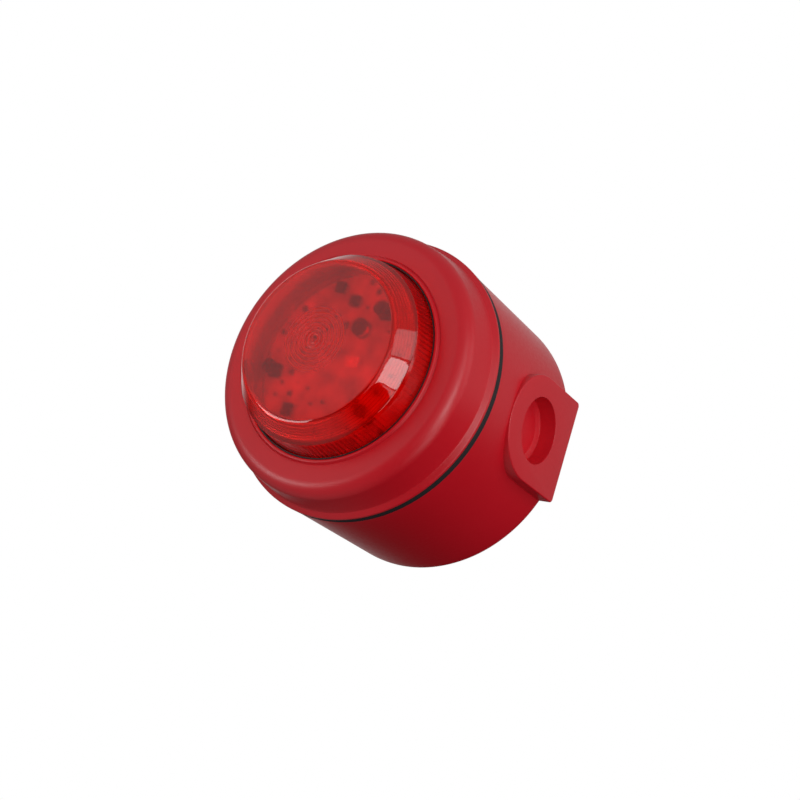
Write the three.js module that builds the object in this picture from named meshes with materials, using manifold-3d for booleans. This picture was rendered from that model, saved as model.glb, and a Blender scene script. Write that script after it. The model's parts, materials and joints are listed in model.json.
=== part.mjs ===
// Wall-mounted sounder beacon: a deep round base, a bayonet head with a red lens, and what both hold.
// Millimetres. The wall is the plane y = 0, the front looks along -Y, +Z is up, and the body's own
// axis is the Y axis. Lathe profiles are therefore lists of [radius, y].
import * as THREE from 'three';
import { mergeVertices } from 'three/addons/utils/BufferGeometryUtils.js';
import Module from 'manifold-3d';

const wasm = await Module();
wasm.setup();

// ---------------------------------------------------------------- driving dimensions

const FACETS = 48; // round the large shells
const RECESS_FACETS = 32; // round the conduit recess and the cable entry
const BOARD_FACETS = 36; // round boards and covers
const SMALL_FACETS = 14; // round screws, posts and small components
const GAP = 0.3; // between pieces that touch on the real object
const PAST = 1; // how far a cutting tool runs past the faces it cuts

const base = {
  depth: 54.9,
  backRadius: 50.4,
  frontRadius: 51.2,
  edgeFillet: 2.6,
  wall: 2.6,
  rearWall: 2.5,
};

// Flat pad with a round front on the +X side, for a conduit with an M20 thread.
const pad = {
  face: 51.6,
  depth: 20,
  back: -0.6,
  halfWidth: 18.8,
  centreY: -24.3,
  cornerRadius: 1.5,
  recessY: -22.9,
  recessRadius: 11.6,
  recessDepth: 7,
  knockoutRadius: 10.25,
  backing: 2.2,
};

const seal = {
  back: -55.2,
  front: -57.4,
  outer: 51.4,
  inner: 46.9,
  skirtOuter: 48.0,
  skirtBack: -53,
};

const head = {
  flangeBack: -57.7,
  beadFront: -58.7,
  beadRadius: 51.6,
  creaseRadius: 49.8,
  creaseY: -60,
  shoulderRadius: 48.8,
  shoulderFillet: 5.3,
  face: -74.7,
  wall: 2.4,
  spigotOuter: 45.5,
  spigotInner: 43.2,
  spigotBack: -44,
};

const collar = { inner: 36.45, outer: 37.8, front: -75.6 };

const lens = {
  back: -68.9,
  neckRadius: 35.3,
  skirtBack: -73.4,
  skirtRadius: 35.85,
  bevelRadius: 34.4,
  bevelY: -83.3,
  topRadius: 28.8,
  topY: -89.9,
  crown: 1.5,
  thickness: 2.1,
  footRadius: 36.2,
  footThickness: 1.6,
};

const grille = { radius: 36.95, notches: 8, notchRadius: 36.2, notchHalf: 5 };

const bayonet = {
  count: 3,
  firstAngle: 90,
  turn: 20,
  lugHalf: 8,
  tabHalf: 9.5,
  lugOuter: 47.6,
  lugBack: -47.5,
  lugFront: -49.5,
  tabInner: 46.2,
  tabBack: -50.2,
  tabFront: -52.2,
  stop: 3.5,
};

const carrier = {
  width: 42,
  height: 70,
  cornerRadius: 6,
  back: -25.3,
  thickness: 2.5,
  pillarZ: 26,
  pillarRadius: 4,
  pilotDepth: 10,
};
const fixing = { circle: 32, angles: [45, 135, 225, 315], length: 12, width: 5, entryX: -20, entryRadius: 9 };

const terminal = {
  ways: 6,
  pitch: 5,
  depth: 11,
  height: 12,
  z: -6,
  screwZ: 1.5,
  screwRadius: 1.85,
  screwDepth: 2.2,
  wireWidth: 3.4,
  wireHeight: 3.6,
  wireBack: 2,
};
const contact = {
  count: 4,
  circle: 33,
  footCircle: 29,
  footLength: 7,
  pitch: 22,
  width: 4,
  thickness: 0.5,
  tip: -42.4,
  stripHalf: 6,
};

const mainBoard = { radius: 42.4, back: -54.1, thickness: 1.6 };
const beaconBoard = { radius: 36, back: -67, thickness: 1.6 };
const cover = { radius: 42.6, back: -44.5, thickness: 2 };
const tie = { circle: 39.8, angles: [30, 150, 270], postRadius: 2.6, shank: 1.5, hole: 1.9, depth: 10 };

const sounder = {
  radius: 26,
  wall: 1.6,
  back: -56,
  front: -66.7,
  ledge: -60.5,
  discRadius: 24,
  discThickness: 0.6,
};
const led = { width: 5.4, depth: 3.8, height: 1.6, domeRadius: 1.7, x: 1.3, z: 0.9 };

// Round and square components on the beacon board, at [x, z].
const beaconCans = { radius: 2.7, height: 5.5, places: [[9.5, 19.5], [-28.4, -5.2]] };
const beaconBlocks = {
  width: 5,
  height: 4,
  depth: 2,
  places: [[-12.2, 27.2], [-4.8, 22.6], [-18.3, -18.6], [15, -19]],
};
const beaconChip = { width: 7, height: 5.5, depth: 1.7, x: -11.6, z: -25.4 };
const beaconCoil = { radius: 3.3, height: 3.4, x: 1.9, z: 12.8 };

const dip = { ways: 5, pitch: 2.54, x: 0, z: 18, width: 15.4, height: 9.6, top: -43.9 };
const lever = { width: 1.1, height: 1.6, tip: -42.9, root: -45.4, travel: 2.2 };
const volume = {
  x: 20,
  z: -8,
  bodyRadius: 4.9,
  top: -44.3,
  pocketRadius: 3.5,
  pocketDepth: 1.6,
  rotorRadius: 3,
  slotWidth: 0.9,
};

const mainFront = mainBoard.back - mainBoard.thickness;
const beaconFront = beaconBoard.back - beaconBoard.thickness;
const coverFront = cover.back - cover.thickness;
const carrierFront = carrier.back - carrier.thickness;
const headInner = head.face + head.wall;

const RED = 0xb3202c;
const LENS_RED = 0xc8101a;
const BLACK = 0x16171a;
const BOARD_GREEN = 0x1f5a3a;
const IVORY = 0xe8e4d8;
const STEEL = 0xb9bcc0;
const BRASS = 0xc9a456;

// ---------------------------------------------------------------- geometry helpers

const radians = THREE.MathUtils.degToRad;

// Volume of a closed triangle mesh, negative when its faces point inwards.
function signedVolume(position, triangles) {
  const a = new THREE.Vector3();
  const b = new THREE.Vector3();
  const c = new THREE.Vector3();
  let volume = 0;
  for (let i = 0; i < triangles.length; i += 3) {
    a.fromBufferAttribute(position, triangles[i]);
    b.fromBufferAttribute(position, triangles[i + 1]);
    c.fromBufferAttribute(position, triangles[i + 2]);
    volume += a.dot(b.cross(c)) / 6;
  }
  return volume;
}

// Turns a closed three.js geometry into a solid that can be joined and cut.
function solid(geometry) {
  geometry.deleteAttribute('normal');
  geometry.deleteAttribute('uv');
  const merged = mergeVertices(geometry, 1e-4);
  const index = merged.index.array;
  const triangles = [];
  for (let i = 0; i < index.length; i += 3) {
    const [a, b, c] = [index[i], index[i + 1], index[i + 2]];
    // A profile point on the axis leaves triangles without area.
    if (a !== b && b !== c && c !== a) triangles.push(a, b, c);
  }
  if (signedVolume(merged.attributes.position, triangles) < 0) triangles.reverse();
  const vertProperties = new Float32Array(merged.attributes.position.array);
  const triVerts = new Uint32Array(triangles);
  return new wasm.Manifold(new wasm.Mesh({ numProp: 3, vertProperties, triVerts }));
}

// Turns a solid back into a three.js geometry.
function geometryOf(body) {
  const mesh = body.getMesh();
  const geometry = new THREE.BufferGeometry();
  geometry.setAttribute('position', new THREE.BufferAttribute(new Float32Array(mesh.vertProperties), 3));
  geometry.setIndex(new THREE.BufferAttribute(new Uint32Array(mesh.triVerts), 1));
  geometry.computeVertexNormals();
  return geometry;
}

// A body turned about the Y axis from a profile of [radius, y] points.
function turned(profile, facets = FACETS) {
  return solid(new THREE.LatheGeometry(profile.map(([r, y]) => new THREE.Vector2(r, y)), facets));
}

function ring(inner, outer, back, front, facets = FACETS) {
  return turned([[inner, back], [outer, back], [outer, front], [inner, front], [inner, back]], facets);
}

// A cylinder along Y at (x, z).
function post(radius, back, front, x = 0, z = 0, facets = SMALL_FACETS) {
  const geometry = new THREE.CylinderGeometry(radius, radius, back - front, facets);
  geometry.translate(x, (back + front) / 2, z);
  return solid(geometry);
}

function block(width, height, back, front, x = 0, z = 0) {
  const geometry = new THREE.BoxGeometry(width, back - front, height);
  geometry.translate(x, (back + front) / 2, z);
  return solid(geometry);
}

// An outline drawn in x and z, made solid between two depths.
function plate(shape, back, front, curveSegments = 5) {
  const options = { depth: back - front, bevelEnabled: false, curveSegments };
  const geometry = new THREE.ExtrudeGeometry(shape, options);
  geometry.rotateX(Math.PI / 2);
  geometry.translate(0, back, 0);
  return solid(geometry);
}

// An outline drawn in y and z, made solid between two values of x.
function plateAlongX(shape, from, to, curveSegments) {
  const options = { depth: to - from, bevelEnabled: false, curveSegments };
  const geometry = new THREE.ExtrudeGeometry(shape, options);
  const [x, y, z] = [new THREE.Vector3(1, 0, 0), new THREE.Vector3(0, 1, 0), new THREE.Vector3(0, 0, 1)];
  geometry.applyMatrix4(new THREE.Matrix4().makeBasis(y, z, x));
  geometry.translate(from, 0, 0);
  return solid(geometry);
}

// A piece of a ring between two angles, measured from +X towards +Z.
function sector(inner, outer, fromAngle, toAngle, back, front) {
  const shape = new THREE.Shape();
  shape.absarc(0, 0, outer, radians(fromAngle), radians(toAngle), false);
  shape.absarc(0, 0, inner, radians(toAngle), radians(fromAngle), true);
  shape.closePath();
  return plate(shape, back, front, 4);
}

function roundedRectangle(width, height, radius, x = 0, z = 0) {
  const [w, h] = [width / 2 - radius, height / 2 - radius];
  const shape = new THREE.Shape();
  shape.absarc(x + w, z + h, radius, 0, Math.PI / 2, false);
  shape.absarc(x - w, z + h, radius, Math.PI / 2, Math.PI, false);
  shape.absarc(x - w, z - h, radius, Math.PI, Math.PI * 1.5, false);
  shape.absarc(x + w, z - h, radius, Math.PI * 1.5, Math.PI * 2, false);
  shape.closePath();
  return shape;
}

// Points of an arc in a lathe profile, from one angle to another about [radius, y].
function arc(centreRadius, centreY, radius, fromAngle, toAngle, steps) {
  return Array.from({ length: steps + 1 }, (_, i) => {
    const angle = radians(fromAngle + ((toAngle - fromAngle) * i) / steps);
    return [centreRadius + radius * Math.cos(angle), centreY + radius * Math.sin(angle)];
  });
}

const onCircle = (radius, angle) => [radius * Math.cos(radians(angle)), radius * Math.sin(radians(angle))];

// ---------------------------------------------------------------- base

function padShape() {
  const { back, halfWidth, centreY, cornerRadius: r } = pad;
  const shape = new THREE.Shape();
  shape.absarc(centreY, 0, halfWidth, Math.PI / 2, Math.PI * 1.5, false);
  shape.absarc(back - r, -halfWidth + r, r, -Math.PI / 2, 0, false);
  shape.absarc(back - r, halfWidth - r, r, 0, Math.PI / 2, false);
  shape.closePath();
  return shape;
}

// A body turned about the axis of the conduit recess from a profile of [radius, x] points.
function turnedAlongX(profile) {
  const points = profile.map(([r, x]) => new THREE.Vector2(r, x));
  const geometry = new THREE.LatheGeometry(points, RECESS_FACETS);
  geometry.rotateZ(-Math.PI / 2);
  geometry.translate(0, pad.recessY, 0);
  return solid(geometry);
}

// The recess narrows by a cone to the thin floor that is knocked out for a conduit.
function conduitRecess() {
  const { face, recessDepth, recessRadius, knockoutRadius } = pad;
  const floor = face - recessDepth;
  const coneEnd = floor + recessRadius - knockoutRadius;
  return turnedAlongX([
    [0, floor], [knockoutRadius, floor], [recessRadius, coneEnd], [recessRadius, face + PAST],
    [0, face + PAST],
  ]);
}

function recessBacking() {
  const { face, recessDepth, recessRadius, backing } = pad;
  const [start, end, radius] = [face - recessDepth - backing, face - backing, recessRadius + backing];
  return turnedAlongX([[0, start], [radius, start], [radius, end], [0, end]]);
}

function fixingSlot(angle) {
  const [x, z] = onCircle(fixing.circle, angle);
  const geometry = new THREE.ExtrudeGeometry(
    roundedRectangle(fixing.width, fixing.length, fixing.width / 2 - 0.01),
    { depth: base.rearWall + 2 * PAST, bevelEnabled: false, curveSegments: 6 },
  );
  geometry.rotateZ(radians(angle));
  geometry.rotateX(Math.PI / 2);
  geometry.translate(x, PAST, z);
  return solid(geometry);
}

// Each tab holds a lug of the head from the front, and the stop beside it ends the turn.
function bayonetTab(angle) {
  const { tabInner, tabHalf, tabBack, tabFront, stop, lugBack } = bayonet;
  const outer = base.frontRadius - base.wall + PAST;
  const start = angle - tabHalf;
  const tab = sector(tabInner, outer, start, angle + tabHalf, tabBack, tabFront);
  return tab.add(sector(tabInner, outer, start - stop, start + 1, lugBack + 1, tabFront + 0.2));
}

function deepBase() {
  const { backRadius, frontRadius, edgeFillet, wall, rearWall, depth } = base;
  const rounded = arc(backRadius - edgeFillet, -edgeFillet, edgeFillet, 90, 0, 4);
  const outside = turned([[0, 0], ...rounded, [frontRadius, -depth], [0, -depth]]);
  const inside = turned([
    [0, -rearWall], [backRadius - wall, -rearWall], [frontRadius - wall, -depth - PAST], [0, -depth - PAST],
  ]);
  const padBody = plateAlongX(padShape(), pad.face - pad.depth, pad.face, 28);
  let body = outside.add(padBody).subtract(inside).add(recessBacking());
  for (const angle of bayonetAngles()) body = body.add(bayonetTab(angle));
  for (const z of [-carrier.pillarZ, carrier.pillarZ]) {
    const front = carrier.back + GAP;
    body = body.add(post(carrier.pillarRadius, PAST - rearWall, front, 0, z));
    body = body.subtract(post(tie.shank + GAP, front + carrier.pilotDepth, front - PAST, 0, z, 12));
  }
  for (const angle of fixing.angles) body = body.subtract(fixingSlot(angle));
  body = body.subtract(post(fixing.entryRadius, PAST, -rearWall - PAST, fixing.entryX, 0, RECESS_FACETS));
  return body.subtract(conduitRecess());
}

function bayonetAngles() {
  return Array.from({ length: bayonet.count }, (_, i) => bayonet.firstAngle + (360 / bayonet.count) * i);
}

function terminalCarrier() {
  const outline = roundedRectangle(carrier.width, carrier.height, carrier.cornerRadius);
  let body = plate(outline, carrier.back, carrierFront);
  for (const z of [-carrier.pillarZ, carrier.pillarZ]) {
    body = body.subtract(post(tie.hole, carrier.back + PAST, carrierFront - PAST, 0, z, 10));
  }
  return body;
}

function panScrew(headRadius, headHeight, length) {
  const profile = [
    [0, 0], [headRadius, 0], [headRadius, -headHeight * 0.55], [headRadius * 0.6, -headHeight],
    [0, -headHeight],
  ];
  return turned(profile, SMALL_FACETS).add(post(tie.shank, length, -0.1, 0, 0, 12));
}

const terminalX = (way) => (way - (terminal.ways - 1) / 2) * terminal.pitch;

function terminalBlock() {
  const back = carrierFront - GAP;
  const front = back - terminal.depth;
  let body = block(terminal.ways * terminal.pitch + 2, terminal.height, back, front);
  const { screwRadius, screwDepth, screwZ, wireWidth, wireHeight, wireBack, height } = terminal;
  const wireFrom = back - wireBack;
  for (let way = 0; way < terminal.ways; way += 1) {
    const x = terminalX(way);
    body = body.subtract(post(screwRadius + GAP, front + screwDepth, front - PAST, x, screwZ, 12));
    body = body.subtract(block(wireWidth, height * 0.7, wireFrom, wireFrom - wireHeight, x, -height / 2));
  }
  return body;
}

function terminalScrew() {
  const body = post(terminal.screwRadius, 0, -1.5);
  return body.subtract(block(0.7, 2 * terminal.screwRadius + 1, -0.9, -2));
}

// A bent spring blade: foot on the carrier, riser, and a hooked tip that presses on the head.
function springBlade() {
  const { thickness: t, footLength } = contact;
  const reach = carrierFront - GAP - contact.tip;
  const shape = new THREE.Shape();
  shape.moveTo(-footLength, 0);
  shape.lineTo(0, 0);
  shape.lineTo(0, -reach * 0.55);
  shape.lineTo(-2.6, -reach + t);
  shape.lineTo(-1.6, -reach);
  shape.lineTo(2.2, -reach + 1.6);
  shape.lineTo(1.9, -reach + 2);
  shape.lineTo(-1.5, -reach + 1);
  shape.lineTo(t, -reach * 0.55);
  shape.lineTo(t, t);
  shape.lineTo(-footLength, t);
  shape.closePath();
  // The outline lies in z (first value) and y (second value) and is made wide along x.
  const geometry = new THREE.ExtrudeGeometry(shape, { depth: contact.width, bevelEnabled: false });
  const [x, y, z] = [new THREE.Vector3(1, 0, 0), new THREE.Vector3(0, 1, 0), new THREE.Vector3(0, 0, 1)];
  geometry.translate(0, -t, -contact.width / 2);
  geometry.applyMatrix4(new THREE.Matrix4().makeBasis(z, y, x.negate()));
  return solid(geometry);
}

const contactAngle = (index) => 90 + (index - (contact.count - 1) / 2) * contact.pitch;

// ---------------------------------------------------------------- seal

function baseSeal() {
  const { inner, outer, skirtOuter, skirtBack, back, front } = seal;
  return turned([
    [inner, skirtBack], [skirtOuter, skirtBack], [skirtOuter, back], [outer, back],
    [outer, front], [inner, front], [inner, skirtBack],
  ]);
}

// ---------------------------------------------------------------- head

function headBezel() {
  const shoulder = arc(head.shoulderRadius - head.shoulderFillet, head.face + head.shoulderFillet,
    head.shoulderFillet, 0, -90, 6);
  const innerWall = head.shoulderRadius - head.wall;
  let body = turned([
    [head.spigotInner, head.spigotBack], [head.spigotOuter, head.spigotBack],
    [head.spigotOuter, head.flangeBack], [head.beadRadius, head.flangeBack],
    [head.beadRadius, head.beadFront], [head.creaseRadius, head.creaseY],
    ...shoulder,
    [collar.outer, head.face], [collar.outer - 0.2, collar.front + 0.2], [collar.outer - 0.5, collar.front],
    [collar.inner + 0.3, collar.front], [collar.inner, collar.front + 0.3], [collar.inner, headInner],
    [innerWall - 3, headInner], [innerWall, headInner + 3], [innerWall, head.creaseY - 1],
    [head.spigotInner, head.creaseY + 2], [head.spigotInner, head.spigotBack],
  ]);
  for (const angle of bayonetAngles()) {
    const { turn, lugHalf, lugOuter, lugBack, lugFront } = bayonet;
    const [from, to] = [angle + turn - lugHalf, angle + turn + lugHalf];
    body = body.add(sector(head.spigotOuter - 1, lugOuter, from, to, lugBack, lugFront));
  }
  for (const angle of tie.angles) {
    const [x, z] = onCircle(tie.circle, angle);
    body = body.add(post(tie.postRadius, mainFront - GAP, headInner - 1, x, z));
    body = body.subtract(post(tie.shank + GAP, mainFront + PAST, mainFront - tie.depth - PAST, x, z, 12));
  }
  return body;
}

function beaconLens() {
  const { back, neckRadius, skirtBack, skirtRadius, bevelRadius, bevelY } = lens;
  const { topRadius, topY, crown, thickness, footRadius, footThickness } = lens;
  const inner = neckRadius - thickness;
  let body = turned([
    [0, topY - crown + thickness], [topRadius - 1, topY + thickness],
    [bevelRadius - thickness, bevelY + 0.9], [inner, back], [neckRadius, back],
    [neckRadius, skirtBack], [skirtRadius, skirtBack - 0.5], [bevelRadius, bevelY],
    [topRadius + 0.3, topY + 0.5], [topRadius - 0.5, topY],
    [topRadius * 0.5, topY - crown * 0.75], [0, topY - crown],
  ]);
  for (const angle of [90, 210, 330]) {
    body = body.add(sector(neckRadius - 1, footRadius, angle - 12, angle + 12, back, back - footThickness));
  }
  return body;
}

// Black ring in the gap between lens and collar, notched so that sound gets out.
function soundGrille() {
  const back = lens.back - lens.footThickness - GAP;
  const { radius, notches, notchRadius, notchHalf } = grille;
  let body = ring(lens.neckRadius + GAP, radius, back, headInner + GAP);
  for (let i = 0; i < notches; i += 1) {
    const [from, to] = [(360 / notches) * (i + 0.5) - notchHalf, (360 / notches) * (i + 0.5) + notchHalf];
    body = body.subtract(sector(lens.neckRadius, notchRadius, from, to, back + PAST, headInner - PAST));
  }
  return body;
}

function mainBoardPlate() {
  let body = post(mainBoard.radius, mainBoard.back, mainFront, 0, 0, BOARD_FACETS);
  for (const angle of tie.angles) {
    const [x, z] = onCircle(tie.circle, angle);
    body = body.subtract(post(tie.hole, mainBoard.back + PAST, mainFront - PAST, x, z, 12));
  }
  return body;
}

function rearCover() {
  let body = post(cover.radius, cover.back, coverFront, 0, 0, BOARD_FACETS);
  for (const angle of tie.angles) {
    const [x, z] = onCircle(tie.circle, angle);
    body = body.add(post(3, cover.back - 0.5, mainBoard.back + GAP, x, z));
    body = body.subtract(post(tie.hole, cover.back + PAST, mainBoard.back - PAST, x, z, 12));
  }
  const [back, front] = [cover.back + PAST, coverFront - PAST];
  body = body.subtract(block(dip.width + 1, dip.height + 1, back, front, dip.x, dip.z));
  return body.subtract(post(volume.bodyRadius + 0.5, back, front, volume.x, volume.z, 24));
}

function sounderCup() {
  const { radius, wall, back, front, ledge, discRadius } = sounder;
  const inner = radius - wall;
  let body = turned([
    [0, back], [radius, back], [radius, front], [inner, front], [inner, ledge],
    [discRadius - 3, ledge], [discRadius - 3, back - 1.5], [0, back - 1.5],
  ], BOARD_FACETS);
  for (const angle of [90, 210, 330]) {
    body = body.subtract(sector(inner - 1, radius + 1, angle - 14, angle + 14, front + 3, front - 1));
  }
  return body;
}

function beaconLed() {
  const carrierBlock = block(led.width, led.depth, 0, -led.height);
  const curve = arc(0, -led.height, led.domeRadius, 0, -90, 3);
  return carrierBlock.add(turned([[0, -0.5], [led.domeRadius, -0.5], ...curve], 12));
}

function capacitorCan(radius, height) {
  return turned([
    [0, 0], [radius, 0], [radius, -1.4], [radius - 0.35, -1.8], [radius, -2.2],
    [radius, -height + 0.6], [radius - 0.6, -height], [0, -height],
  ], SMALL_FACETS);
}

const leverX = (way) => dip.x + (way - (dip.ways - 1) / 2) * dip.pitch;

function dipBody() {
  let body = block(dip.width, dip.height, dip.top, mainBoard.back + GAP, dip.x, dip.z);
  const [slotWidth, slotHeight] = [lever.width + 0.7, lever.height + lever.travel + 0.8];
  for (let way = 0; way < dip.ways; way += 1) {
    body = body.subtract(block(slotWidth, slotHeight, dip.top + PAST, lever.root - 0.4, leverX(way), dip.z));
  }
  return body;
}

function volumeBody() {
  const body = post(volume.bodyRadius, volume.top, mainBoard.back + GAP, 0, 0, 24);
  return body.subtract(post(volume.pocketRadius, volume.top + PAST, volume.top - volume.pocketDepth));
}

function volumeRotor() {
  const body = post(volume.rotorRadius, 1.2, -0.9, 0, 0, 24);
  return body.subtract(block(volume.slotWidth, 2 * volume.rotorRadius + PAST, 2, 0.2));
}

// ---------------------------------------------------------------- assembly

const object = new THREE.Group();

function add(name, body, look, position = [0, 0, 0]) {
  const [color, roughness, metalness] = look;
  const material = new THREE.MeshStandardMaterial({ color, roughness, metalness });
  const mesh = new THREE.Mesh(geometryOf(body), material);
  mesh.name = name;
  mesh.position.set(...position);
  object.add(mesh);
}

const MOULDED = [RED, 0.45, 0];
const RUBBER = [BLACK, 0.8, 0];
const PLASTIC = [BLACK, 0.5, 0];
const PALE = [IVORY, 0.5, 0];
const METAL = [STEEL, 0.35, 1];
const SPRING = [BRASS, 0.35, 1];
const BOARD = [BOARD_GREEN, 0.5, 0];
const CAN = [0x22252c, 0.4, 0];
const FERRITE = [0x3a3a3c, 0.6, 0];

function addBase() {
  add('deep_base', deepBase(), MOULDED);
  add('terminal_carrier', terminalCarrier(), PALE);
  [-1, 1].forEach((side, i) => {
    add(`carrier_screw_${i + 1}`, panScrew(3, 2, 10), METAL, [0, carrierFront - GAP, side * carrier.pillarZ]);
  });
  add('terminal_block', terminalBlock(), [0x2c6e49, 0.5, 0], [0, 0, terminal.z]);
  const screwY = carrierFront - GAP - terminal.depth + terminal.screwDepth - GAP;
  for (let way = 0; way < terminal.ways; way += 1) {
    const place = [terminalX(way), screwY, terminal.z + terminal.screwZ];
    add(`terminal_screw_${way + 1}`, terminalScrew(), METAL, place);
  }
  for (let i = 0; i < contact.count; i += 1) {
    const angle = contactAngle(i);
    const [x, z] = onCircle(contact.footCircle, angle);
    add(`base_contact_${i + 1}`, springBlade(), SPRING, [x, carrierFront - GAP, z]);
  }
}

function addHead() {
  add('head_bezel', headBezel(), MOULDED);
  add('beacon_lens', beaconLens(), [LENS_RED, 0.12, 0]);
  add('sound_grille', soundGrille(), PLASTIC);
  const beaconPlate = post(beaconBoard.radius, beaconBoard.back, beaconFront, 0, 0, BOARD_FACETS);
  add('beacon_board', beaconPlate, BOARD);
  const onBoard = beaconFront - GAP;
  add('beacon_led', beaconLed(), PALE, [led.x, onBoard, led.z]);
  beaconCans.places.forEach(([x, z], i) => {
    const body = capacitorCan(beaconCans.radius, beaconCans.height);
    add(`beacon_capacitor_${i + 1}`, body, CAN, [x, onBoard, z]);
  });
  beaconBlocks.places.forEach(([x, z], i) => {
    const body = block(beaconBlocks.width, beaconBlocks.height, 0, -beaconBlocks.depth);
    add(`beacon_transistor_${i + 1}`, body, PLASTIC, [x, onBoard, z]);
  });
  add('beacon_chip', block(beaconChip.width, beaconChip.height, 0, -beaconChip.depth), PLASTIC,
    [beaconChip.x, onBoard, beaconChip.z]);
  const coil = post(beaconCoil.radius, 0, -beaconCoil.height);
  add('beacon_coil', coil, FERRITE, [beaconCoil.x, onBoard, beaconCoil.z]);
  add('main_board', mainBoardPlate(), BOARD);
  add('sounder_cup', sounderCup(), PLASTIC);
  const discBack = sounder.ledge - GAP;
  const disc = post(sounder.discRadius, discBack, discBack - sounder.discThickness, 0, 0, BOARD_FACETS);
  add('sounder_disc', disc, SPRING);
  [[60, 5, 10.2], [95, 4, 9]].forEach(([angle, radius, height], i) => {
    const [x, z] = onCircle(32.5, angle);
    add(`storage_capacitor_${i + 1}`, capacitorCan(radius, height), CAN, [x, mainFront - GAP, z]);
  });
  const [coilX, coilZ] = onCircle(33, 205);
  add('drive_inductor', post(5, 0, -7), FERRITE, [coilX, mainFront - GAP, coilZ]);
  add('controller_chip', block(9, 9, 1.5, 0), PLASTIC, [-4, mainBoard.back + GAP, -14]);
  add('rear_cover', rearCover(), PLASTIC);
  tie.angles.forEach((angle, i) => {
    const [x, z] = onCircle(tie.circle, angle);
    add(`head_screw_${i + 1}`, longScrew(), METAL, [x, 0, z]);
  });
  for (let i = 0; i < contact.count; i += 1) {
    const centre = contactAngle(i) + bayonet.turn;
    const back = cover.back + GAP;
    const [from, to] = [centre - contact.stripHalf, centre + contact.stripHalf];
    const strip = sector(contact.circle - 2.5, contact.circle + 2, from, to, back + 0.6, back);
    add(`head_contact_${i + 1}`, strip, SPRING);
  }
}

// A screw with its head behind the rear cover and its shank running forward into the bezel's post.
function longScrew() {
  const seat = cover.back + GAP;
  const profile = [[0, seat], [2.9, seat], [2.9, seat + 1], [1.8, seat + 1.8], [0, seat + 1.8]];
  return turned(profile, SMALL_FACETS).add(post(tie.shank, seat + 0.1, mainFront - tie.depth, 0, 0, 12));
}

function addControls() {
  add('dip_switch_body', dipBody(), [0xa61c22, 0.5, 0]);
  for (let way = 0; way < dip.ways; way += 1) {
    const body = block(lever.width, lever.height, lever.tip, lever.root);
    add(`dip_lever_${way + 1}`, body, PALE, [leverX(way), 0, dip.z - lever.travel / 2]);
  }
  add('volume_pot_body', volumeBody(), [0x2b57a5, 0.5, 0], [volume.x, 0, volume.z]);
  add('volume_rotor', volumeRotor(), PALE, [volume.x, volume.top - 0.3, volume.z]);
}

addBase();
add('base_seal', baseSeal(), RUBBER);
addHead();
addControls();

export default object;
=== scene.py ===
"""Looks of the wall-mounted sounder beacon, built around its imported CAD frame.

The body's own axis is Y: the wall is the plane y = 0 and the front looks along -Y, with +Z up.
Sizes in this script are millimetres and are turned into metres by MM when a mesh is made.
Lathe profiles are lists of (radius, y).
"""

import json
import math

import bmesh
import bpy
from mathutils import Matrix, Vector


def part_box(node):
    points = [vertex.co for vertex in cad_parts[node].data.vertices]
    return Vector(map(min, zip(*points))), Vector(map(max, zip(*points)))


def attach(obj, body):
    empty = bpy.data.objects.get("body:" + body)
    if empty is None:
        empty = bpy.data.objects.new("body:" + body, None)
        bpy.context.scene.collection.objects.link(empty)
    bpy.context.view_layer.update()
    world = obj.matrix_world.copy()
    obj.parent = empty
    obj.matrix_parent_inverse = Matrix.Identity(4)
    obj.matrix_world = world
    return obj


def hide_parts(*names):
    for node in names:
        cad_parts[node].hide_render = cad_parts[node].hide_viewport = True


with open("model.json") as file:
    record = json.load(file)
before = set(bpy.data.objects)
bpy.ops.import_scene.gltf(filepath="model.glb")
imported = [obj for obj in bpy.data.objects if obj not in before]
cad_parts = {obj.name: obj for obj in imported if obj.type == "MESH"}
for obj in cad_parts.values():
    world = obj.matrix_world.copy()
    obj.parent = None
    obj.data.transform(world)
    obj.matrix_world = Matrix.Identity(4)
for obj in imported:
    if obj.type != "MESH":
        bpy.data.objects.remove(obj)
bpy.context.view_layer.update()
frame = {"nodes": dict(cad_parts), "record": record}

MM = 0.001
TURN = 2 * math.pi
SHELL_SEGMENTS = 256
SMOOTH_ANGLE = math.radians(32)


# ------------ measures taken from the frame

def box_mm(node):
    """Lowest and highest corner of a CAD node at rest, in millimetres."""
    low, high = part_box(node)
    return Vector(low) / MM, Vector(high) / MM


def size_mm(node):
    """A node's width along x, depth along y and height along z, in millimetres."""
    low, high = box_mm(node)
    return high.x - low.x, high.y - low.y, high.z - low.z


def centre_mm(node):
    low, high = box_mm(node)
    return (low + high) / 2


# ------------ mesh helpers

def rounded(points, steps=5):
    """A profile with its corners rounded. A point is (radius, y) or (radius, y, corner radius)."""
    result = []
    for index, point in enumerate(points):
        if len(point) == 2 or index in (0, len(points) - 1):
            result.append((point[0], point[1]))
            continue
        corner = Vector(point[:2])
        before = Vector(points[index - 1][:2]) - corner
        after = Vector(points[index + 1][:2]) - corner
        half = before.angle(after) / 2
        reach = min(point[2] / math.tan(half), 0.49 * before.length, 0.49 * after.length)
        start = corner + before.normalized() * reach
        end = corner + after.normalized() * reach
        for step in range(steps + 1):
            t = step / steps
            result.append(tuple(start * (1 - t) ** 2 + corner * (2 * t * (1 - t)) + end * t ** 2))
    return result


def divided(profile, longest=4.0):
    """The same profile with no stretch longer than the given length."""
    result = [profile[0]]
    for start, end in zip(profile, profile[1:]):
        length = math.dist(start, end)
        pieces = max(1, math.ceil(length / longest))
        for step in range(1, pieces + 1):
            t = step / pieces
            result.append((start[0] + (end[0] - start[0]) * t, start[1] + (end[1] - start[1]) * t))
    return result


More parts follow.
